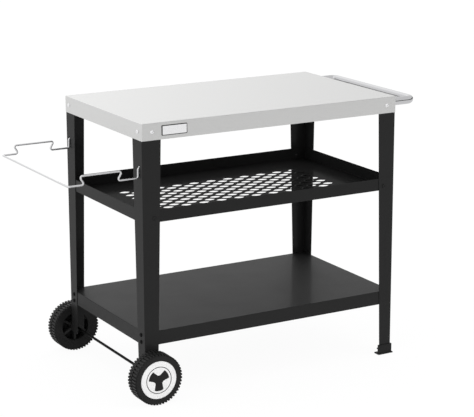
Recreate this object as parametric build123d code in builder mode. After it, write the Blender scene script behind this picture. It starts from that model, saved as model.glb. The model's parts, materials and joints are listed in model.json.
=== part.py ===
"""Grill table on wheels: a folded steel top on four tapered angle legs, with a slotted tray,
a lower shelf, a push handle, two lugged wheels, two foot caps and a hooked wire bag holder.

Millimetres. X runs along the table with the handle at +X, -Y is the front, Z is up.
The origin lies on the floor, in the middle of the whole object."""

import math
import os

from build123d import *

os.makedirs("parts", exist_ok=True)

# Overall plan
TOP_LENGTH = 850.9
TOP_WIDTH = 508.0
TABLE_HEIGHT = 807.7
BAG_REACH = 218.0  # from the left skirt to the outside of the wire
HANDLE_REACH = 99.5  # from the right skirt to the outside of the tube

# Tabletop pan and the stiffeners under it
TOP_SHEET = 1.0
SKIRT_HEIGHT = 49.2
TOP_FOLD = 2.0
TOP_CORNER = 2.5
STIFFENER_SHEET = 1.0
STIFFENER_WIDTH = 40.0
STIFFENER_FLANGE = 12.0
STIFFENER_DEPTH = 14.0
STIFFENER_SPACING = 220.0
STIFFENER_END_GAP = 45.0

# Legs
LEG_SHEET = 1.5
LEG_TOP_WIDTH = 60.0
LEG_FLOOR_WIDTH = 40.0
LEG_TOP_GAP = 4.0  # under the tabletop panel, clear of its folded edge
WHEEL_LEG_TAIL = 10.0  # leg left below the axle
LEG_END_ROUND = 5.0

# Middle shelf, a tray with upstanding walls
TRAY_DROP = 285.7  # underside of the tray below the tabletop
TRAY_WALL = 36.6
TRAY_SHEET = 1.2
SHELF_FOLD = 2.0
SLOT_LENGTH = 39.0
SLOT_FLAT = 12.0  # straight stretch of the long sides, between the slanted ends
SLOT_WIDTH = 21.0
SLOT_PITCH = 59.3
SLOT_ROW_PITCH = 20.6
SLOT_COLUMNS = 11
SLOT_ROW_PAIRS = 6
SLOT_SHIFT = -5.0  # middle of the slots, towards the wheels

# Bottom shelf, a pan with its skirts down
SHELF_TOP = 203.0
SHELF_SKIRT = 41.0
SHELF_SHEET = 1.2

# Screws and nuts of the sheet metal
SCREW_DIAMETER = 6.0
SCREW_HEAD = 11.5
SCREW_HEAD_HEIGHT = 3.0
SCREW_HEAD_EDGE = 1.5  # slope round the face of the head
SCREW_TAIL = 2.0  # thread past the nut
NUT_WIDTH = 10.0
NUT_HEIGHT = 5.0
HOLE_CLEARANCE = 0.2  # radial, screw in sheet
THREAD_CLEARANCE = 0.05  # radial, screw in nut
TOP_SCREW_INSET = 32.0  # long skirts, from the corner
TOP_END_SCREW_INSET = 25.0  # left skirt, from the corner
TOP_SCREW_DROP = 25.4
TRAY_SCREW_INSET = 37.0
TRAY_SCREW_RISE = 13.0
SHELF_SCREW_INSET = 25.0
SHELF_SCREW_DROP = 11.5
SHELF_SCREW_PITCH = 20.5

# Handle
HANDLE_DIAMETER = 25.0
HANDLE_WALL = 1.5
HANDLE_INSET = 40.0  # middles of the stubs, from the front and rear skirts
HANDLE_DROP = 24.6  # tube centre below the tabletop
HANDLE_BEND = 20.0
PLUG_LENGTH = 24.0
PLUG_CLEARANCE = 0.1
HANDLE_BOLT_DIAMETER = 8.0
HANDLE_BOLT_HEAD = 13.0
HANDLE_BOLT_HEAD_HEIGHT = 5.5
HANDLE_BOLT_GRIP = 18.0  # thread inside the plug
WASHER_DIAMETER = 20.0
WASHER_THICKNESS = 1.6

# Wheels, axle and caps
WHEEL_RADIUS = 75.0
WHEEL_WIDTH = 48.0
AXLE_DIAMETER = 8.0
AXLE_INSET = 18.4  # from the left skirt
RUNNING_CLEARANCE = 0.05  # radial, wheel on axle
SIDE_PLAY = 0.3  # wheel along the axle
HUB_RADIUS = 13.5
HUB_STANDOUT = 1.0  # hub past the tyre, towards the leg
WHEEL_WEB = 4.0
TYRE_INNER_RADIUS = 44.0
TYRE_DISH = 8.0
TYRE_STEP = 0.8  # rows of lugs above the plain band and edges of the tyre
RIB_COUNT = 6
RIB_THICKNESS = 7.0
RIB_SETBACK = 5.0  # behind the lip of the dish
LUG_COUNT = 48
LUG_DEPTH = 3.5
LUG_GROOVE = 4.4
LUG_BAND = 4.0  # plain band along the middle of the tread
LUG_SETBACK = 1.0  # from the faces of the tyre
AXLE_NUT_WIDTH = 13.0
AXLE_NUT_HEIGHT = 7.5
AXLE_TAIL = 1.5  # thread past the nut
NUT_ROOM = 4.0  # radial room for a socket round the axle nut
AXLE_WASHER_DIAMETER = 18.0
AXLE_WASHER_THICKNESS = 1.2
CAP_DIAMETER = 111.5
CAP_THICKNESS = 3.0
CAP_CLEARANCE = 0.2
CAP_EDGE = 0.8
CAP_SEAT_EDGE = 1.5  # slope round the mouth of the seat
CAP_RING_DIAMETER = 78.0
CAP_RING_WIDTH = 0.9
CAP_RING_DEPTH = 0.5
STAR_RADIUS = 32.5
STAR_ARMS = 3
STAR_ARM_ROOT = 17.6  # width of an arm at the middle of the cap
STAR_ARM_TIP = 30.0
STAR_NOTCH_ROUND = 8.6
STAR_SINK = 0.6  # face of the dark star below the face of the cap
STAR_BACKING_RADIUS = 40.0
STAR_BACKING = 1.5

# Foot caps
FOOT_WALL = 3.0
FOOT_CLEARANCE = 0.2
FOOT_HEIGHT = 30.0
FOOT_BASE = 4.0
FOOT_FLANGE = 3.0
FOOT_DEPTH = 24.0

# Bag holder
WIRE_DIAMETER = 5.5
WIRE_BEND = 5.5
WIRE_GAP = 0.3  # wire to the outside of the leg
HOOK_INSET = 22.0  # from the front and rear skirts
HOOK_DROP = 127.9  # prong below the tabletop
HOOK_RISE = 28.5  # prong above the arm
HOOK_TIP = 13.0  # end of the wire above the prong, behind the leg
HOOK_STANDOFF = 4.5  # hook to the inside of the leg
HUMP_RISE = 26.0
HUMP_NEAR_RUN = 50.0  # left skirt to the near end of the raised run
HUMP_FAR_RUN = 34.5  # far end of the raised run to the outer bar
HUMP_UNDERCUT = 16.0
HOOK_SLOT_WIDTH = 8.0
HOOK_SLOT_BELOW = 25.0
HOOK_SLOT_ABOVE = 6.0

# Places worked out from the sizes above
centre_x = (BAG_REACH - HANDLE_REACH) / 2
left_edge = centre_x - TOP_LENGTH / 2
right_edge = centre_x + TOP_LENGTH / 2
front_edge = -TOP_WIDTH / 2
panel_under = TABLE_HEIGHT - TOP_SHEET
leg_fold = TOP_CORNER
leg_left = left_edge + TOP_SHEET  # outer faces of the legs, against the skirts
leg_right = right_edge - TOP_SHEET
leg_front = front_edge + TOP_SHEET
leg_top = panel_under - LEG_TOP_GAP
shelf_length = TOP_LENGTH - 2 * (TOP_SHEET + LEG_SHEET)
shelf_width = TOP_WIDTH - 2 * (TOP_SHEET + LEG_SHEET)
top_screw_z = TABLE_HEIGHT - TOP_SCREW_DROP
tray_base = TABLE_HEIGHT - TRAY_DROP
tray_screw_z = tray_base + TRAY_SCREW_RISE
handle_z = TABLE_HEIGHT - HANDLE_DROP
stub_y = TOP_WIDTH / 2 - HANDLE_INSET
axle_x = left_edge + AXLE_INSET
axle_z = WHEEL_RADIUS
hub_face = leg_front - AXLE_WASHER_THICKNESS - SIDE_PLAY
wheel_face = hub_face - HUB_STANDOUT - WHEEL_WIDTH  # outer face of the front wheel
wheel_axis = Axis((axle_x, wheel_face, axle_z), (0, 1, 0))
screw_hole = SCREW_DIAMETER / 2 + HOLE_CLEARANCE
handle_hole = HANDLE_BOLT_DIAMETER / 2 + HOLE_CLEARANCE
top_grip = TOP_SHEET + LEG_SHEET
tray_grip = LEG_SHEET + TRAY_SHEET
shelf_grip = LEG_SHEET + SHELF_SHEET
parts = {}


def keep(builder, name):
    """Label a finished piece and put it on the list of pieces to be written."""
    builder.part.label = name
    parts[name] = builder.part


# Seats of the screws: a plane on the outer face under each head, looking outwards
top_seats = [
    Plane((x, side * TOP_WIDTH / 2, top_screw_z), z_dir=(0, side, 0))
    for x in (left_edge + TOP_SCREW_INSET, right_edge - TOP_SCREW_INSET)
    for side in (-1, 1)
]
top_seats += [
    Plane((left_edge, side * (TOP_WIDTH / 2 - TOP_END_SCREW_INSET), top_screw_z), z_dir=(-1, 0, 0))
    for side in (-1, 1)
]
tray_seats = [
    Plane((x, side * abs(leg_front), tray_screw_z), z_dir=(0, side, 0))
    for x in (left_edge + TRAY_SCREW_INSET, right_edge - TRAY_SCREW_INSET)
    for side in (-1, 1)
]
shelf_seats = [
    Plane((x, side * (TOP_WIDTH / 2 - SHELF_SCREW_INSET), SHELF_TOP - drop), z_dir=(out, 0, 0))
    for x, out in ((leg_left, -1), (leg_right, 1))
    for side in (-1, 1)
    for drop in (SHELF_SCREW_DROP, SHELF_SCREW_DROP + SHELF_SCREW_PITCH)
]
handle_seats = [
    Plane((right_edge, side * stub_y, handle_z), z_dir=(1, 0, 0)) for side in (-1, 1)
]


def folded_pan(length, width, panel_z, rim_z, sheet, fold, corner):
    """A pressed pan: a flat panel at panel_z with walls that run to the open rim at rim_z."""
    with BuildPart() as pan:
        with BuildSketch(Plane((centre_x, 0, panel_z))):
            RectangleRounded(length, width, corner)
        extrude(amount=rim_z - panel_z)
        panel, rim = sorted(
            pan.faces().filter_by(Axis.Z), key=lambda face: abs(face.center().Z - panel_z)
        )
        fillet(panel.edges(), fold)
        offset(amount=-sheet, openings=pan.faces().filter_by(Axis.Z).sort_by_distance(rim.center())[0])
    return pan.part


# Tabletop
top_pan = folded_pan(
    TOP_LENGTH, TOP_WIDTH, TABLE_HEIGHT, TABLE_HEIGHT - SKIRT_HEIGHT, TOP_SHEET, TOP_FOLD, TOP_CORNER
)
with BuildPart() as tabletop:
    add(top_pan)
    with Locations(*top_seats):
        Hole(screw_hole, depth=top_grip)
    with Locations(*handle_seats):
        Hole(handle_hole, depth=top_grip)
keep(tabletop, "tabletop")

# Hat-section stiffeners, flat against the underside of the panel
with BuildPart() as top_stiffeners:
    with BuildSketch(Plane.YZ.offset(left_edge + STIFFENER_END_GAP)):
        with Locations((-STIFFENER_SPACING / 2, panel_under), (STIFFENER_SPACING / 2, panel_under)):
            hang = (Align.CENTER, Align.MAX)
            Rectangle(STIFFENER_WIDTH + 2 * STIFFENER_FLANGE, STIFFENER_SHEET, align=hang)
            Rectangle(STIFFENER_WIDTH, STIFFENER_DEPTH, align=hang)
            Rectangle(
                STIFFENER_WIDTH - 2 * STIFFENER_SHEET,
                STIFFENER_DEPTH - STIFFENER_SHEET,
                align=hang,
                mode=Mode.SUBTRACT,
            )
    extrude(amount=TOP_LENGTH - 2 * STIFFENER_END_GAP)
keep(top_stiffeners, "top_stiffeners")


# Legs
def leg_width(z):
    """Width of both flanges of a leg at height z."""
    return LEG_FLOOR_WIDTH + (LEG_TOP_WIDTH - LEG_FLOOR_WIDTH) * z / leg_top


def tapered_angle(corner_x, inward, bottom):
    """A front leg: two tapering flanges folded along the corner of the table."""
    flange = [(0, bottom), (leg_width(bottom), bottom), (leg_width(leg_top), leg_top), (0, leg_top)]
    corner = (corner_x, leg_front, 0)
    with BuildPart() as leg:
        with BuildSketch(Plane(corner, x_dir=(inward, 0, 0), z_dir=(0, -inward, 0))) as face:
            Polygon(*flange, align=None)
            fillet(face.vertices().sort_by(Axis.Y)[:2].sort_by(Axis.X)[-1], LEG_END_ROUND)
        extrude(amount=-inward * LEG_SHEET)
        with BuildSketch(Plane(corner, x_dir=(0, 1, 0), z_dir=(1, 0, 0))) as side:
            Polygon(*flange, align=None)
            fillet(side.vertices().sort_by(Axis.Y)[:2].sort_by(Axis.X)[-1], LEG_END_ROUND)
        extrude(amount=inward * LEG_SHEET)
        inner_corner = (corner_x + inward * LEG_SHEET, leg_front + LEG_SHEET, (bottom + leg_top) / 2)
        fillet(leg.edges().filter_by(Axis.Z).sort_by_distance(inner_corner)[0], leg_fold - LEG_SHEET)
        outer_corner = (corner_x, leg_front, (bottom + leg_top) / 2)
        fillet(leg.edges().filter_by(Axis.Z).sort_by_distance(outer_corner)[0], leg_fold)
    return leg.part


wheel_leg = tapered_angle(leg_left, 1, axle_z - WHEEL_LEG_TAIL)
foot_leg = tapered_angle(leg_right, -1, FOOT_BASE)
hook_z = TABLE_HEIGHT - HOOK_DROP
slot_middle = hook_z + (HOOK_SLOT_ABOVE - HOOK_SLOT_BELOW) / 2
hook_y = TOP_WIDTH / 2 - HOOK_INSET

with BuildPart() as leg_front_left:
    add(wheel_leg)
    with Locations(*top_seats, *tray_seats, *shelf_seats):
        Hole(screw_hole, depth=top_grip)
    with Locations(Plane((axle_x, leg_front, axle_z), z_dir=(0, -1, 0))):
        Hole(AXLE_DIAMETER / 2 + HOLE_CLEARANCE, depth=top_grip)
    with BuildSketch(Plane((leg_left, -hook_y, slot_middle), x_dir=(0, 1, 0), z_dir=(1, 0, 0))):
        SlotOverall(HOOK_SLOT_ABOVE + HOOK_SLOT_BELOW, HOOK_SLOT_WIDTH, rotation=90)
    extrude(amount=LEG_SHEET, mode=Mode.SUBTRACT)
keep(leg_front_left, "leg_front_left")

with BuildPart() as leg_front_right:
    add(foot_leg)
    with Locations(*top_seats, *tray_seats, *shelf_seats):
        Hole(screw_hole, depth=top_grip)
    with Locations(*handle_seats):
        Hole(handle_hole, depth=top_grip)
keep(leg_front_right, "leg_front_right")

# Middle shelf: two grids of six-sided slots, each half a step from the other
tray_pan = folded_pan(
    shelf_length, shelf_width, tray_base, tray_base + TRAY_WALL, TRAY_SHEET, SHELF_FOLD, leg_fold
)
slot_tip = SLOT_LENGTH / 2
slot_flat = SLOT_FLAT / 2
slot_side = SLOT_WIDTH / 2
with BuildSketch() as slot:
    with BuildLine():
        Polyline((-slot_tip, 0), (-slot_flat, slot_side), (slot_flat, slot_side), (slot_tip, 0))
        mirror(about=Plane.XZ)
    make_face()
with BuildPart() as middle_shelf:
    add(tray_pan)
    with BuildSketch(Plane((centre_x + SLOT_SHIFT, 0, tray_base))):
        for step, columns in ((0.5, SLOT_COLUMNS), (-0.5, SLOT_COLUMNS - 1)):
            with Locations((0, step * SLOT_ROW_PITCH)):
                with GridLocations(SLOT_PITCH, 2 * SLOT_ROW_PITCH, columns, SLOT_ROW_PAIRS):
                    add(slot.sketch)
    extrude(amount=TRAY_SHEET, mode=Mode.SUBTRACT)
    with Locations(*tray_seats):
        Hole(screw_hole, depth=tray_grip)
keep(middle_shelf, "middle_shelf")

# Bottom shelf
shelf_pan = folded_pan(
    shelf_length, shelf_width, SHELF_TOP, SHELF_TOP - SHELF_SKIRT, SHELF_SHEET, SHELF_FOLD, leg_fold
)
with BuildPart() as bottom_shelf:
    add(shelf_pan)
    with Locations(*shelf_seats):
        Hole(screw_hole, depth=shelf_grip)
keep(bottom_shelf, "bottom_shelf")


# Screws with sloped heads, and their hexagon nuts
def pan_screw(grip):
    """One screw along Z: the seat of its head at zero, its shank down through the grip and the nut."""
    with BuildPart() as screw:
        with BuildSketch():
            Circle(SCREW_HEAD / 2)
        extrude(amount=SCREW_HEAD_HEIGHT)
        chamfer(screw.edges().sort_by(Axis.Z)[-1], SCREW_HEAD_EDGE)
        with BuildSketch():
            Circle(SCREW_DIAMETER / 2)
        extrude(amount=-(grip + NUT_HEIGHT + SCREW_TAIL))
    return screw.part


def hexagon_nut(width, height, bore):
    """One nut along Z, standing on its seat at zero and pointing down, away from the head."""
    with BuildPart() as nut:
        with BuildSketch():
            RegularPolygon(width / 2, 6, major_radius=False)
            Circle(bore, mode=Mode.SUBTRACT)
        extrude(amount=-height)
    return nut.part


sheet_nut = hexagon_nut(NUT_WIDTH, NUT_HEIGHT, SCREW_DIAMETER / 2 + THREAD_CLEARANCE)
for group, seats, grip in (
    ("top", top_seats, top_grip),
    ("tray", tray_seats, tray_grip),
    ("shelf", shelf_seats, shelf_grip),
):
    screw_piece = pan_screw(grip)
    with BuildPart() as screws:
        with Locations(*seats):
            add(screw_piece)
    keep(screws, f"{group}_screws")
    with BuildPart() as nuts:
        with Locations(*[seat.offset(-grip) for seat in seats]):
            add(sheet_nut)
    keep(nuts, f"{group}_nuts")


def bent_rod(path, radius, bore=0):
    """A rod, or a tube if it has a bore, along a path of straight runs and round bends."""
    with BuildPart() as rod:
        for run in path.edges():
            with BuildSketch(Plane(run @ 0, z_dir=run % 0)):
                Circle(radius)
                if bore:
                    Circle(bore, mode=Mode.SUBTRACT)
            if run.geom_type == GeomType.LINE:
                extrude(amount=run.length)
            else:
                bend_axis = Axis(run.arc_center, (run @ 0 - run.arc_center).cross(run % 0))
                revolve(axis=bend_axis, revolution_arc=math.degrees(run.length / run.radius))
    return rod.part


# Handle: a tube bent to a U, with threaded plugs in its ends
bar_x = right_edge + HANDLE_REACH - HANDLE_DIAMETER / 2
bore_radius = HANDLE_DIAMETER / 2 - HANDLE_WALL
with BuildLine() as handle_path:
    FilletPolyline(
        (right_edge, -stub_y, handle_z),
        (bar_x, -stub_y, handle_z),
        (bar_x, stub_y, handle_z),
        (right_edge, stub_y, handle_z),
        radius=HANDLE_BEND,
    )
with BuildPart() as handle_tube:
    add(bent_rod(handle_path.line, HANDLE_DIAMETER / 2, bore_radius))
keep(handle_tube, "handle_tube")

with BuildPart() as handle_plugs:
    for seat in handle_seats:
        with BuildSketch(seat):
            Circle(bore_radius - PLUG_CLEARANCE)
            Circle(HANDLE_BOLT_DIAMETER / 2 + THREAD_CLEARANCE, mode=Mode.SUBTRACT)
        extrude(amount=PLUG_LENGTH)
keep(handle_plugs, "handle_plugs")

washer_planes = [seat.offset(-top_grip) for seat in handle_seats]
with BuildPart() as handle_washers:
    for plane in washer_planes:
        with BuildSketch(plane):
            Circle(WASHER_DIAMETER / 2)
            Circle(handle_hole, mode=Mode.SUBTRACT)
        extrude(amount=-WASHER_THICKNESS)
keep(handle_washers, "handle_washers")

with BuildPart() as handle_bolts:
    for plane in washer_planes:
        with BuildSketch(plane.offset(-WASHER_THICKNESS)):
            RegularPolygon(HANDLE_BOLT_HEAD / 2, 6, major_radius=False)
        extrude(amount=-HANDLE_BOLT_HEAD_HEIGHT)
        with BuildSketch(plane.offset(-WASHER_THICKNESS)):
            Circle(HANDLE_BOLT_DIAMETER / 2)
        extrude(amount=WASHER_THICKNESS + top_grip + HANDLE_BOLT_GRIP)
keep(handle_bolts, "handle_bolts")

# Wheel: depths are measured inwards from its outer face
backing_floor = CAP_THICKNESS + STAR_BACKING
nut_pocket = AXLE_NUT_WIDTH / 2 + NUT_ROOM
hub_outer = backing_floor + AXLE_TAIL * 2 + AXLE_NUT_HEIGHT + SIDE_PLAY
hub_inner = hub_face - wheel_face
hub_bore = AXLE_DIAMETER / 2 + RUNNING_CLEARANCE
cap_seat = CAP_DIAMETER / 2 + CAP_CLEARANCE
web_inner = backing_floor + WHEEL_WEB
boss = nut_pocket + WHEEL_WEB
dish_floor = WHEEL_WIDTH - TYRE_DISH
band_radius = WHEEL_RADIUS - LUG_DEPTH - TYRE_STEP
with BuildPart() as front_wheel:
    with BuildSketch(Plane((axle_x, wheel_face, axle_z))):
        with BuildLine():
            Polyline(
                (hub_bore, hub_outer),
                (nut_pocket, hub_outer),
                (nut_pocket, backing_floor),
                (cap_seat, backing_floor),
                (cap_seat, CAP_SEAT_EDGE),
                (cap_seat + CAP_SEAT_EDGE, 0),
                (band_radius, 0),
                (band_radius, WHEEL_WIDTH),
                (TYRE_INNER_RADIUS, dish_floor),
                (TYRE_INNER_RADIUS, web_inner),
                (boss, web_inner),
                (boss, hub_outer + WHEEL_WEB),
                (HUB_RADIUS, hub_outer + WHEEL_WEB),
                (HUB_RADIUS, hub_inner),
                (hub_bore, hub_inner),
                close=True,
            )
        make_face()
    revolve(axis=wheel_axis)
    with BuildSketch(Plane((axle_x, wheel_face + web_inner, axle_z), x_dir=(1, 0, 0), z_dir=(0, 1, 0))):
        with PolarLocations((HUB_RADIUS + TYRE_INNER_RADIUS) / 2, RIB_COUNT, start_angle=90):
            Rectangle(TYRE_INNER_RADIUS - HUB_RADIUS + WHEEL_WEB, RIB_THICKNESS)
    extrude(amount=dish_floor - RIB_SETBACK - web_inner)
    row_length = (WHEEL_WIDTH - LUG_BAND) / 2 - LUG_SETBACK
    half_step = 180 / LUG_COUNT
    for depth, start in ((LUG_SETBACK, 0), (LUG_SETBACK + row_length + LUG_BAND, half_step)):
        with BuildSketch(Plane((axle_x, wheel_face + depth, axle_z), x_dir=(1, 0, 0), z_dir=(0, 1, 0))):
            Circle(WHEEL_RADIUS)
            Circle(band_radius - TYRE_STEP, mode=Mode.SUBTRACT)
            with PolarLocations(WHEEL_RADIUS, LUG_COUNT, start_angle=start):
                Rectangle(2 * LUG_DEPTH, LUG_GROOVE, mode=Mode.SUBTRACT)
        extrude(amount=row_length)
keep(front_wheel, "front_wheel")

# Wheel cap: a white disc with a three-armed opening that a dark insert fills from behind
cap_face = Plane((axle_x, wheel_face, axle_z), x_dir=(1, 0, 0), z_dir=(0, -1, 0))
arm_root = STAR_ARM_ROOT / 2
arm_tip = STAR_ARM_TIP / 2
with BuildSketch() as star:
    with PolarLocations(0, STAR_ARMS, start_angle=-90):
        Polygon((0, -arm_root), (STAR_RADIUS, -arm_tip), (STAR_RADIUS, arm_tip), (0, arm_root), align=None)
    fillet(star.vertices().sort_by_distance((0, 0, 0))[:STAR_ARMS], STAR_NOTCH_ROUND)
    Circle(STAR_RADIUS, mode=Mode.INTERSECT)
with BuildPart() as front_wheel_cap:
    with BuildSketch(cap_face):
        Circle(CAP_DIAMETER / 2)
        add(star.sketch, mode=Mode.SUBTRACT)
    extrude(amount=-CAP_THICKNESS)
    rim_edges = front_wheel_cap.edges().filter_by(GeomType.CIRCLE).sort_by(SortBy.RADIUS)[-2:]
    chamfer(rim_edges.sort_by(Axis.Y)[0], CAP_EDGE)
    with BuildSketch(cap_face):
        Circle(CAP_RING_DIAMETER / 2 + CAP_RING_WIDTH / 2)
        Circle(CAP_RING_DIAMETER / 2 - CAP_RING_WIDTH / 2, mode=Mode.SUBTRACT)
    extrude(amount=-CAP_RING_DEPTH, mode=Mode.SUBTRACT)
keep(front_wheel_cap, "front_wheel_cap")

with BuildPart() as front_cap_insert:
    with BuildSketch(cap_face.offset(-backing_floor)):
        Circle(STAR_BACKING_RADIUS)
    extrude(amount=STAR_BACKING)
    with BuildSketch(cap_face.offset(-CAP_THICKNESS)):
        add(star.sketch)
        offset(amount=-CAP_CLEARANCE, mode=Mode.REPLACE)
    extrude(amount=CAP_THICKNESS - STAR_SINK)
keep(front_cap_insert, "front_cap_insert")

# Axle, its washers against the legs and its nuts under the caps
nut_seat = hub_outer - SIDE_PLAY
axle_end = wheel_face + nut_seat - AXLE_NUT_HEIGHT - AXLE_TAIL
with BuildPart() as axle:
    with BuildSketch(Plane((axle_x, axle_end, axle_z), x_dir=(1, 0, 0), z_dir=(0, 1, 0))):
        Circle(AXLE_DIAMETER / 2)
    extrude(amount=-2 * axle_end)
keep(axle, "axle")

axle_nut = hexagon_nut(AXLE_NUT_WIDTH, AXLE_NUT_HEIGHT, AXLE_DIAMETER / 2 + THREAD_CLEARANCE)
nut_y = wheel_face + nut_seat
with BuildPart() as axle_nuts:
    with Locations(*[Plane((axle_x, side * nut_y, axle_z), z_dir=(0, side, 0)) for side in (-1, 1)]):
        add(axle_nut)
keep(axle_nuts, "axle_nuts")

with BuildPart() as axle_washers:
    for side in (-1, 1):
        with BuildSketch(Plane((axle_x, side * leg_front, axle_z), z_dir=(0, side, 0))):
            Circle(AXLE_WASHER_DIAMETER / 2)
            Circle(AXLE_DIAMETER / 2 + HOLE_CLEARANCE, mode=Mode.SUBTRACT)
        extrude(amount=-AXLE_WASHER_THICKNESS)
keep(axle_washers, "axle_washers")


# Foot cap: an L-shaped sleeve round the end of the leg, on a wider base
def angle_outline(out, thickness, mode=Mode.ADD):
    """An L round the end of the leg, standing off by out on its two faces and its two edges."""
    reach = leg_width(FOOT_HEIGHT) + 2 * out
    with Locations((leg_right + out, leg_front - out)):
        Rectangle(reach, thickness, align=(Align.MAX, Align.MIN), mode=mode)
        Rectangle(thickness, reach, align=(Align.MAX, Align.MIN), mode=mode)


sleeve_out = FOOT_CLEARANCE + FOOT_WALL
base_out = sleeve_out + FOOT_FLANGE
inner_fold = (leg_right - LEG_SHEET - FOOT_CLEARANCE, leg_front + LEG_SHEET + FOOT_CLEARANCE, FOOT_BASE)
with BuildPart() as foot_cap_front:
    with BuildSketch():
        angle_outline(base_out, FOOT_DEPTH)
    extrude(amount=FOOT_BASE)
    with BuildSketch(Plane.XY.offset(FOOT_BASE)) as sleeve:
        angle_outline(sleeve_out, LEG_SHEET + 2 * sleeve_out)
        angle_outline(FOOT_CLEARANCE, LEG_SHEET + 2 * FOOT_CLEARANCE, mode=Mode.SUBTRACT)
        fillet(sleeve.vertices().sort_by_distance(inner_fold)[0], leg_fold - LEG_SHEET)
    extrude(amount=FOOT_HEIGHT - FOOT_BASE)
keep(foot_cap_front, "foot_cap_front")

# The rear pieces mirror the front ones
for front, rear in (
    ("leg_front_left", "leg_rear_left"),
    ("leg_front_right", "leg_rear_right"),
    ("front_wheel", "rear_wheel"),
    ("front_wheel_cap", "rear_wheel_cap"),
    ("front_cap_insert", "rear_cap_insert"),
    ("foot_cap_front", "foot_cap_rear"),
):
    with BuildPart() as mirrored:
        mirror(parts[front], about=Plane.XZ)
    keep(mirrored, rear)

# Bag holder: one bent wire, from hook to hook
arm_z = hook_z - HOOK_RISE
hump_z = arm_z + HUMP_RISE
wire_radius = WIRE_DIAMETER / 2
hook_x = leg_left + LEG_SHEET + HOOK_STANDOFF + wire_radius
drop_x = leg_left - WIRE_GAP - wire_radius
outer_x = left_edge - BAG_REACH + wire_radius


def arm(y):
    """Corners of one arm, from the tip of its hook to the outer bar."""
    near = left_edge - HUMP_NEAR_RUN
    far = outer_x + HUMP_FAR_RUN
    return [
        (hook_x, y, hook_z + HOOK_TIP),
        (hook_x, y, hook_z),
        (drop_x, y, hook_z),
        (drop_x, y, arm_z),
        (near - HUMP_UNDERCUT, y, arm_z),
        (near, y, hump_z),
        (far, y, hump_z),
        (far + HUMP_UNDERCUT, y, arm_z),
        (outer_x, y, arm_z),
    ]


with BuildLine() as wire_path:
    FilletPolyline(*arm(-hook_y), *reversed(arm(hook_y)), radius=WIRE_BEND)
with BuildPart() as bag_holder:
    add(bent_rod(wire_path.line, wire_radius))
keep(bag_holder, "bag_holder")

for name, piece in parts.items():
    export_step(piece, f"parts/{name}.step")
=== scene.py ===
"""Looks of the grill table, in a plain studio.

The table gets its finishes, rounded edges, cross recesses in its screws, a line on each wheel cap and
a bare plate on the front skirt. Metres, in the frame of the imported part: X along the table to the
handle, -Y the front, Z up."""

import json
import math

import bmesh
import bpy
from mathutils import Euler, Matrix, Vector

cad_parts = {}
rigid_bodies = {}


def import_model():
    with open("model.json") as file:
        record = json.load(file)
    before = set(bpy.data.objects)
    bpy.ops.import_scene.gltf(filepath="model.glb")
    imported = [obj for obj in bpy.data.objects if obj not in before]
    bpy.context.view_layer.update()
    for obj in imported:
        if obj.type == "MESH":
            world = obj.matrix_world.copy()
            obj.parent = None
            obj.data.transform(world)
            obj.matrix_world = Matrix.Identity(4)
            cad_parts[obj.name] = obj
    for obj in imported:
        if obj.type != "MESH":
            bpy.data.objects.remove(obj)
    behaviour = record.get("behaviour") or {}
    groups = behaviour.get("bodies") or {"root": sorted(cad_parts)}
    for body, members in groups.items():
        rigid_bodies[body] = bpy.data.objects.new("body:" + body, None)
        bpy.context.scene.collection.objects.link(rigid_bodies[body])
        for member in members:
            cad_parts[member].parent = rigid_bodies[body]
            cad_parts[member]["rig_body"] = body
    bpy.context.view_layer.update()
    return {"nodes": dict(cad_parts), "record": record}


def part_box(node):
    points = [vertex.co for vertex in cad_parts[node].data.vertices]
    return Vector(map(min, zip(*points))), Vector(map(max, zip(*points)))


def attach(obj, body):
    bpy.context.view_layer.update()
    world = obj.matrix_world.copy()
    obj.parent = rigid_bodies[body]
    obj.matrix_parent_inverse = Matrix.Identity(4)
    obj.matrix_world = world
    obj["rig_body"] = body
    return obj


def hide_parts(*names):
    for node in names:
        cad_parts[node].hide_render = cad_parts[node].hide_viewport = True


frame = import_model()
cad = frame["nodes"]
slot_of = {row["node"]: row["material_slot"] for row in frame["record"]["subparts"]}

# Camera, as fitted to the photograph
IMAGE_WIDTH = 474
FOCAL_PIXELS = 1697.0
SENSOR = 36.0  # mm, as Blender has it
CAMERA_PLACE = (-2.4154, -4.3562, 1.7271)
CAMERA_TURN = math.radians(29.825)
CAMERA_TILT = math.radians(14.203)
CAMERA_ROLL = math.radians(-0.097)

# Powder coat and moulded plastic
TONE_SPREAD = 0.12  # share of the colour, up and down
CLOUD_SCALE = 9.0
CLOUD_DETAIL = 4.0
CLOUD_GLOSS = 0.05  # change of roughness, up and down
GRAIN_DETAIL = 2.0
GRAIN_HEIGHT = 0.0002
POLISH_ROUGHNESS = 0.15

# Floor of the tray: rougher, and darker as painted shade
UPWARD_SPAN = (0.5, 0.9)  # Z of the normal, from wall to floor
TRAY_FLOOR_ROUGHER = 0.5
# painted shade: the floor of the tray keeps this share of the walls' colour
TRAY_FLOOR_PAINTED_SHADE = 0.5  # share of the walls' colour

# Plated metal
SCRATCH_SCALE = 420.0
SCRATCH_DETAIL = 6.0
SCRATCH_GLOSS = (0.7, 1.4)  # shares of the plain roughness
SCRATCH_RELIEF = 0.05
SCRATCH_HEIGHT = 0.0001

# Brushed steel
BRUSH_LINES = ((1500.0, 9.0), (240.0, 2.5))  # changes per metre, crosswise and lengthwise
BRUSH_DETAIL = 3.0
BRUSH_TONE = 0.06  # share of the colour, up and down
BRUSH_GLOSS = 0.1  # change of roughness, up and down
BRUSH_RELIEF = 0.08
BRUSH_HEIGHT = 0.0001

# Sockets of Blender's Mix node that carry colours: their names repeat, so they are taken by place
MIX_FACTOR = 0
MIX_DARK = 6
MIX_LIGHT = 7
MIX_RESULT = 2

# Rounding of edges
WELD = 1e-6
FLAT_ANGLE = math.radians(0.6)
SHARP_ANGLE = math.radians(35)
SHEET_EDGE = 0.0003
MOULDED_EDGE = 0.0008
SCREW_EDGE = 0.00015

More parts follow.
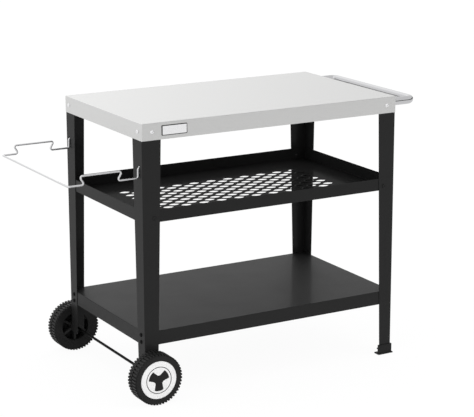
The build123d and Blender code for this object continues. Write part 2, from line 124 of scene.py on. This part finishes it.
# Cross recess of a screw
HEAD_FACE_AREA = 4.5e-5  # the face of a head is larger, the end of a screw is smaller
ROUND_FACE = 13.0  # perimeter squared over area: a disc has 12.6, part of a ring has more
RECESS_REACH = 0.0026
RECESS_HALF_WIDTH = 0.0006
RECESS_DEPTH = 0.0015
RECESS_TAPER = 0.6

# Line round the star of a wheel cap
LINE_RADIUS = 0.039
LINE_WIDTH = 0.0022
LINE_THICKNESS = 0.00005
LINE_STEPS = 96

# Bare plate on the front skirt
PLATE_LENGTH = 0.080
PLATE_HEIGHT = 0.029
PLATE_THICKNESS = 0.0012
PLATE_INSET = 0.0625  # from the left skirt
PLATE_DROP = 0.0097  # from the tabletop
PLATE_BORDER = 0.0022
PLATE_CORNER = 0.002
PLATE_STEP = 0.0004  # face of the plate above its border
CORNER_STEPS = 6

# Studio
WHITE = (1, 1, 1, 1)
FLOOR_SIZE = 60.0
FLOOR_COLOUR = 0.86
WHITE_SHARE = 0.93  # how much of the floor's white is its own
WHITE_LIGHT = 1.02
SKY_LIGHT = 1.1  # for scattered light; what the camera sees of the sky is 1, which is white
SLOPE_WAY = (0.868, -0.497, 0)  # to the right: the sky that a gloss shows changes this way
SLOPE_SPAN = (-0.17, 0.105)
SLOPE_LIGHT = (1.35, 0.95)  # at the two ends of that span
SIDE_SPAN = (-0.75, -0.35)
SIDE_LIGHT = 0.8  # share of that light at the far left
CARD_LIGHT = 0.06  # share of it on a dark card low on the right
CARD_START = (0.25, 0.50)  # soft left edge of the card
CARD_TOP = (0.16, 0.30)  # soft upper edge of the card


# Nodes
def feed(tree, made, inputs):
    """Give each input of a node a plain value, or the output that feeds it."""
    for name, value in inputs.items():
        socket = made.inputs[name]
        if isinstance(value, bpy.types.NodeSocket):
            tree.links.new(value, socket)
        else:
            socket.default_value = value


def node(tree, kind, inputs=None, **settings):
    """Add a node, with its settings and its inputs."""
    made = tree.nodes.new(kind)
    for name, value in settings.items():
        setattr(made, name, value)
    feed(tree, made, inputs or {})
    return made


def between(tree, factor, low, high, start=0.0, end=1.0):
    """A number that runs from low to high while the factor runs from start to end."""
    spans = {"Value": factor, "From Min": start, "From Max": end, "To Min": low, "To Max": high}
    return node(tree, "ShaderNodeMapRange", spans).outputs["Result"]


def sum_of(tree, operation, *values):
    """The result of one sum."""
    return node(tree, "ShaderNodeMath", dict(enumerate(values)), operation=operation).outputs[0]


def parts_of(tree, vector):
    """The X, Y and Z of a vector."""
    return node(tree, "ShaderNodeSeparateXYZ", {"Vector": vector}).outputs


def own_place(tree):
    """Places on the piece, in metres."""
    return node(tree, "ShaderNodeTexCoord").outputs["Object"]


def facing(tree):
    """The X, Y and Z of the way that a surface faces."""
    return parts_of(tree, node(tree, "ShaderNodeNewGeometry").outputs["Normal"])


def shade(tree, factor, colour, low, high):
    """A colour that runs from a low to a high share of itself with the factor."""
    dark, light = ((*(tone * share for tone in colour), 1) for share in (low, high))
    inputs = {MIX_FACTOR: factor, MIX_DARK: dark, MIX_LIGHT: light}
    return node(tree, "ShaderNodeMix", inputs, data_type="RGBA").outputs[MIX_RESULT]


def noise(tree, place, scale, detail):
    """Noise from 0 to 1 at a place, with its features about a metre over the scale wide."""
    inputs = {"Vector": place, "Scale": scale, "Detail": detail}
    return node(tree, "ShaderNodeTexNoise", inputs).outputs["Fac"]


def bump(tree, height, strength, distance):
    """The normal of a surface with small relief."""
    inputs = {"Height": height, "Strength": strength, "Distance": distance}
    return node(tree, "ShaderNodeBump", inputs).outputs["Normal"]


# Materials
def surface(name, colour, roughness, metallic=0.0, specular=0.5):
    """A new material, its node tree and its surface shader, with the plain values set."""
    material = bpy.data.materials.new(name)
    material.use_nodes = True
    tree = material.node_tree
    shader = tree.nodes["Principled BSDF"]
    feed(tree, shader, {
        "Base Color": (*colour, 1),
        "Roughness": roughness,
        "Metallic": metallic,
        "Specular IOR Level": specular,
    })
    return material, tree, shader


def grained(name, colour, roughness, specular, grain, relief, spread=TONE_SPREAD, polish=0.0):
    """Powder coat or moulded plastic: a fine even grain, with slow changes of tone and gloss."""
    material, tree, shader = surface(name, colour, roughness, specular=specular)
    place = own_place(tree)
    clouds = noise(tree, place, CLOUD_SCALE, CLOUD_DETAIL)
    feed(tree, shader, {
        "Base Color": shade(tree, clouds, colour, 1 - spread, 1 + spread),
        "Roughness": between(tree, clouds, roughness - CLOUD_GLOSS, roughness + CLOUD_GLOSS),
        "Normal": bump(tree, noise(tree, place, grain, GRAIN_DETAIL), relief, GRAIN_HEIGHT),
        "Coat Weight": polish,
        "Coat Roughness": POLISH_ROUGHNESS,
    })
    return material


def floor_rougher_with_painted_shade(material, rougher, tone):
    """The same finish, rougher on what faces up, as on the floor of a pan, and darker there as painted
    shade.
    """
    tree = material.node_tree
    shader = tree.nodes["Principled BSDF"]
    plain = {name: shader.inputs[name].links[0].from_socket for name in ("Roughness", "Base Color")}
    upward = facing(tree)["Z"]
    added = between(tree, upward, 0.0, rougher, *UPWARD_SPAN)
    # painted shade: the colour is darkened on what faces up
    share = between(tree, upward, 1.0, tone, *UPWARD_SPAN)
    painted_shade_colour = node(tree, "ShaderNodeVectorMath", {0: plain["Base Color"], "Scale": share}, operation="SCALE")
    feed(tree, shader, {
        "Base Color": painted_shade_colour.outputs["Vector"],
        "Roughness": sum_of(tree, "ADD", plain["Roughness"], added),
    })
    return material


def plated(name, colour, roughness, wear):
    """Plated metal: fine scratches that change its tone and gloss a little."""
    material, tree, shader = surface(name, colour, roughness, metallic=1.0)
    scratches = noise(tree, own_place(tree), SCRATCH_SCALE, SCRATCH_DETAIL)
    feed(tree, shader, {
        "Base Color": shade(tree, scratches, colour, 1 - wear, 1),
        "Roughness": between(tree, scratches, *(roughness * share for share in SCRATCH_GLOSS)),
        "Normal": bump(tree, scratches, SCRATCH_RELIEF, SCRATCH_HEIGHT),
    })
    return material


def brushed(name, colour, roughness):
    """Steel brushed along the length of the sheet, so that the lines run down its folded ends."""
    material, tree, shader = surface(name, colour, roughness, metallic=1.0)
    place = parts_of(tree, own_place(tree))
    way = facing(tree)
    side = sum_of(tree, "ABSOLUTE", way["Y"])
    end = sum_of(tree, "ABSOLUTE", way["X"])
    across = sum_of(tree, "MULTIPLY_ADD", side, place["Z"], place["Y"])
    along = sum_of(tree, "MULTIPLY_ADD", end, place["Z"], place["X"])
    streaks = []
    for crosswise, lengthwise in BRUSH_LINES:
        line = node(tree, "ShaderNodeCombineXYZ", {
            "X": sum_of(tree, "MULTIPLY", along, lengthwise),
            "Y": sum_of(tree, "MULTIPLY", across, crosswise),
        })
        streaks.append(noise(tree, line.outputs["Vector"], 1.0, BRUSH_DETAIL))
    mean = sum_of(tree, "MULTIPLY", sum_of(tree, "ADD", *streaks), 1 / len(streaks))
    feed(tree, shader, {
        "Base Color": shade(tree, mean, colour, 1 - BRUSH_TONE, 1 + BRUSH_TONE),
        "Roughness": between(tree, mean, roughness - BRUSH_GLOSS, roughness + BRUSH_GLOSS),
        "Normal": bump(tree, streaks[0], BRUSH_RELIEF, BRUSH_HEIGHT),
    })
    return material


def grey(tone):
    """A plain grey."""
    return (tone, tone, tone)


finishes = {
    "brushed_top": brushed("brushed_steel", (0.65, 0.65, 0.645), roughness=0.36),
    "galvanised_steel": plated("galvanised_steel", (0.50, 0.51, 0.52), roughness=0.45, wear=0.25),
    "black_coat": grained(
        "black_powder_coat", grey(0.014), roughness=0.55, specular=0.115, grain=1600.0, relief=0.2,
        polish=0.1,
    ),
    "chrome_tube": plated("polished_chrome", (0.54, 0.54, 0.55), roughness=0.09, wear=0.04),
    "bright_wire": plated("plated_wire", (0.64, 0.64, 0.65), roughness=0.2, wear=0.1),
    "zinc_fasteners": plated("bright_zinc", (0.86, 0.86, 0.87), roughness=0.2, wear=0.1),
    "black_fasteners": grained(
        "black_steel", grey(0.006), roughness=0.4, specular=0.04, grain=900.0, relief=0.1,
    ),
    "wheel_plastic": grained(
        "wheel_plastic", grey(0.018), roughness=0.5, specular=0.12, grain=1400.0, relief=0.2,
    ),
    "white_cap": grained(
        "white_plastic", grey(0.93), roughness=0.32, specular=0.5, grain=1100.0, relief=0.06,
        spread=0.02,
    ),
    "dark_insert": grained(
        "dark_plastic", grey(0.014), roughness=0.4, specular=0.15, grain=1100.0, relief=0.1,
    ),
    "foot_plastic": grained(
        "foot_plastic", grey(0.0165), roughness=0.5, specular=0.12, grain=1400.0, relief=0.2,
    ),
    "plug_nylon": grained(
        "black_nylon", grey(0.02), roughness=0.5, specular=0.4, grain=1200.0, relief=0.1,
    ),
}
# the tray's coat, with painted shade on its floor
tray_coat_and_painted_shade = floor_rougher_with_painted_shade(
    grained(
        "tray_powder_coat_and_painted_shade", grey(0.014), roughness=0.45, specular=0.085, grain=1600.0, relief=0.2,
        polish=0.08,
    ),
    TRAY_FLOOR_ROUGHER,
    TRAY_FLOOR_PAINTED_SHADE,
)
for name, piece in cad.items():
    piece.data.materials.clear()
    piece.data.materials.append(tray_coat_and_painted_shade if name == "middle_shelf" else finishes[slot_of[name]])


# Pieces
def show(name, shape, body, slot):
    """Make a piece of a mesh in work: smooth, with its sharp edges kept, riding on a body."""
    bmesh.ops.recalc_face_normals(shape, faces=shape.faces)
    for face in shape.faces:
        face.smooth = True
    for edge in shape.edges:
        edge.smooth = len(edge.link_faces) == 2 and edge.calc_face_angle() < SHARP_ANGLE
    mesh = bpy.data.meshes.new(name)
    shape.to_mesh(mesh)
    shape.free()
    piece = bpy.data.objects.new(name, mesh)
    bpy.context.scene.collection.objects.link(piece)
    mesh.materials.append(finishes[slot])
    weights = piece.modifiers.new("even_shading", "WEIGHTED_NORMAL")
    weights.keep_sharp = True
    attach(piece, body)
    return piece


def round_edges(shape, width):
    """Round every sharp edge of a mesh in work."""
    sharp = [e for e in shape.edges if len(e.link_faces) == 2 and e.calc_face_angle() > SHARP_ANGLE]
    bmesh.ops.bevel(
        shape, geom=sharp, offset=width, offset_type="OFFSET", segments=2, profile=0.5, affect="EDGES",
        clamp_overlap=True,
    )
    bmesh.ops.dissolve_degenerate(shape, dist=WELD, edges=shape.edges)


def is_head_face(face):
    """Whether a face is the flat round face of a screw's head."""
    area = face.calc_area()
    return area > HEAD_FACE_AREA and face.calc_perimeter() ** 2 < ROUND_FACE * area


def sink_cross(shape, face):
    """Sink a cross recess into the flat face of a screw's head."""
    middle = face.calc_center_median()
    normal = face.normal.copy()
    across = normal.orthogonal().normalized()
    along = normal.cross(across)
    rim = list(face.edges)
    bmesh.ops.delete(shape, geom=[face], context="FACES_ONLY")
    rings = []
    for shrink, depth in ((1.0, 0.0), (RECESS_TAPER, RECESS_DEPTH)):
        ring = []
        for quarter in range(4):
            turn = Matrix.Rotation(quarter * math.pi / 2, 2)
            for x, y in (
                (RECESS_REACH, -RECESS_HALF_WIDTH),
                (RECESS_REACH, RECESS_HALF_WIDTH),
                (RECESS_HALF_WIDTH, RECESS_HALF_WIDTH),
            ):
                a, b = turn @ Vector((x, y)) * shrink
                ring.append(shape.verts.new(middle + across * a + along * b - normal * depth))
        rings.append(ring)
    mouth, floor = rings
    edges = [shape.edges.new((mouth[k - 1], mouth[k])) for k in range(len(mouth))]
    bmesh.ops.triangle_fill(shape, edges=rim + edges, use_beauty=True, normal=normal)
    for k in range(len(mouth)):
        shape.faces.new((mouth[k - 1], mouth[k], floor[k], floor[k - 1]))
    shape.faces.new(floor)


def softened(name, width, recessed=False):
    """A CAD piece with its edges rounded, which stands for it. A screw gets its cross recesses first."""
    shape = bmesh.new()
    shape.from_mesh(cad[name].data)
    bmesh.ops.remove_doubles(shape, verts=shape.verts, dist=WELD)
    bmesh.ops.dissolve_limit(shape, angle_limit=FLAT_ANGLE, verts=shape.verts, edges=shape.edges)
    if recessed:
        for face in [f for f in shape.faces if is_head_face(f)]:
            sink_cross(shape, face)
    round_edges(shape, width)
    piece = show(f"{name}_soft", shape, cad[name]["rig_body"], slot_of[name])
    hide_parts(name)
    return piece


for name in ("front_wheel", "rear_wheel", "foot_cap_front", "foot_cap_rear"):
    softened(name, MOULDED_EDGE)
for name in (
    "leg_front_left", "leg_front_right", "leg_rear_left", "leg_rear_right", "tabletop", "bottom_shelf",
    "front_wheel_cap", "rear_wheel_cap", "front_cap_insert", "rear_cap_insert",
):
    softened(name, SHEET_EDGE)
for name in ("top_screws", "tray_screws", "shelf_screws"):
    screws = softened(name, SCREW_EDGE, recessed=True)
    if name == "tray_screws":
        screws.data.materials[0] = finishes["black_coat"]


def cap_line(name, side):
    """A thin dark line round the star on the face of a wheel cap, which looks to the -Y or +Y side."""
    least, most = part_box(name)
    face_y = (least if side < 0 else most).y
    middle = (least + most) / 2
    shape = bmesh.new()
    rings = []
    for radius in (LINE_RADIUS - LINE_WIDTH / 2, LINE_RADIUS + LINE_WIDTH / 2):
        for lift in (0, LINE_THICKNESS):
            rings.append([
                shape.verts.new((
                    middle.x + radius * math.cos(math.tau * step / LINE_STEPS),
                    face_y + side * lift,
                    middle.z + radius * math.sin(math.tau * step / LINE_STEPS),
                ))
                for step in range(LINE_STEPS)
            ])
    inner_back, inner_front, outer_back, outer_front = rings
    ends = (inner_back, inner_front, outer_front, outer_back)
    for a, b in zip(ends, ends[1:] + ends[:1]):
        for k in range(LINE_STEPS):
            shape.faces.new((a[k - 1], a[k], b[k], b[k - 1]))
    show(f"{name}_line", shape, cad[name]["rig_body"], "dark_insert")


cap_line("front_wheel_cap", side=-1)
cap_line("rear_wheel_cap", side=1)


def plate_layer(name, inset, thickness, corner, slot):
    """A layer of the plate on the front skirt: a flat block with round corners, inset all round."""
    least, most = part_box("tabletop")
    left = least.x + PLATE_INSET + inset
    right = least.x + PLATE_INSET + PLATE_LENGTH - inset
    low = most.z - PLATE_DROP - PLATE_HEIGHT + inset
    high = most.z - PLATE_DROP - inset
    outline = []
    for quarter, (x, z) in enumerate((
        (right - corner, high - corner), (left + corner, high - corner),
        (left + corner, low + corner), (right - corner, low + corner),
    )):
        for step in range(CORNER_STEPS + 1):
            turn = math.pi / 2 * (quarter + step / CORNER_STEPS)
            outline.append((x + corner * math.cos(turn), z + corner * math.sin(turn)))
    shape = bmesh.new()
    back = [shape.verts.new((x, least.y, z)) for x, z in outline]
    front = [shape.verts.new((x, least.y - thickness, z)) for x, z in outline]
    shape.faces.new(back)
    shape.faces.new(front)
    for k in range(len(outline)):
        shape.faces.new((back[k - 1], back[k], front[k], front[k - 1]))
    round_edges(shape, SCREW_EDGE)
    show(name, shape, cad["tabletop"]["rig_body"], slot)


plate_layer("plate_border", 0.0, PLATE_THICKNESS, PLATE_CORNER, "black_coat")
plate_layer("plate_face", PLATE_BORDER, PLATE_THICKNESS + PLATE_STEP, PLATE_CORNER / 2, "zinc_fasteners")


# Studio
def seen_directly(tree):
    """One for what the camera sees, by itself, in a gloss or through glass; nought for scattered light."""
    path = node(tree, "ShaderNodeLightPath").outputs
    seen = sum_of(tree, "MAXIMUM", path["Is Camera Ray"], path["Is Glossy Ray"])
    return sum_of(tree, "MAXIMUM", seen, path["Is Transmission Ray"])


def studio_floor():
    """A white floor that keeps a soft shadow."""
    bpy.ops.mesh.primitive_plane_add(size=FLOOR_SIZE)
    floor = bpy.context.object
    floor.name = "floor"
    material = bpy.data.materials.new("white_floor")
    material.use_nodes = True
    tree = material.node_tree
    tree.nodes.clear()
    matte = node(tree, "ShaderNodeBsdfDiffuse", {"Color": (*grey(FLOOR_COLOUR), 1)})
    white = node(tree, "ShaderNodeEmission", {"Strength": WHITE_LIGHT})
    share = sum_of(tree, "MULTIPLY", seen_directly(tree), WHITE_SHARE)
    mixed = node(tree, "ShaderNodeMixShader", {0: share, 1: matte.outputs[0], 2: white.outputs[0]})
    node(tree, "ShaderNodeOutputMaterial", {"Surface": mixed.outputs[0]})
    floor.data.materials.append(material)


def studio_sky():
    """White all round, as an even soft light.

    In a gloss the sky is brightest on the left, less at the far left and on the right, and a dark card
    stands low on the right."""
    world = bpy.data.worlds.new("studio")
    world.use_nodes = True
    bpy.context.scene.world = world
    tree = world.node_tree
    way = node(tree, "ShaderNodeTexCoord").outputs["Generated"]
    height = parts_of(tree, way)["Z"]
    rightward = node(tree, "ShaderNodeVectorMath", {0: way, 1: SLOPE_WAY}, operation="DOT_PRODUCT")
    aside = rightward.outputs["Value"]
    side = between(tree, aside, SIDE_LIGHT, 1.0, *SIDE_SPAN)
    slope = sum_of(tree, "MULTIPLY", side, between(tree, aside, *SLOPE_LIGHT, *SLOPE_SPAN))
    on_the_right = between(tree, aside, 0.0, 1.0, *CARD_START)
    low_down = between(tree, height, 1.0, 0.0, *CARD_TOP)
    card = between(tree, sum_of(tree, "MULTIPLY", on_the_right, low_down), 1.0, CARD_LIGHT)
    gloss = node(tree, "ShaderNodeLightPath").outputs["Is Glossy Ray"]
    shown = sum_of(tree, "POWER", sum_of(tree, "MULTIPLY", card, slope), gloss)
    white = between(tree, seen_directly(tree), SKY_LIGHT, 1.0)
    strength = sum_of(tree, "MULTIPLY", white, shown)
    feed(tree, tree.nodes["Background"], {"Color": WHITE, "Strength": strength})


studio_floor()
studio_sky()

camera = bpy.data.objects.new("camera", bpy.data.cameras.new("camera"))
camera.data.sensor_width = SENSOR
camera.data.lens = FOCAL_PIXELS / IMAGE_WIDTH * SENSOR
camera.location = CAMERA_PLACE
aim = Euler((math.pi / 2 - CAMERA_TILT, 0, -CAMERA_TURN)).to_matrix()
camera.rotation_euler = (aim @ Matrix.Rotation(CAMERA_ROLL, 3, "Z")).to_euler()
bpy.context.scene.collection.objects.link(camera)
bpy.context.scene.camera = camera
bpy.context.scene.view_settings.view_transform = "Standard"
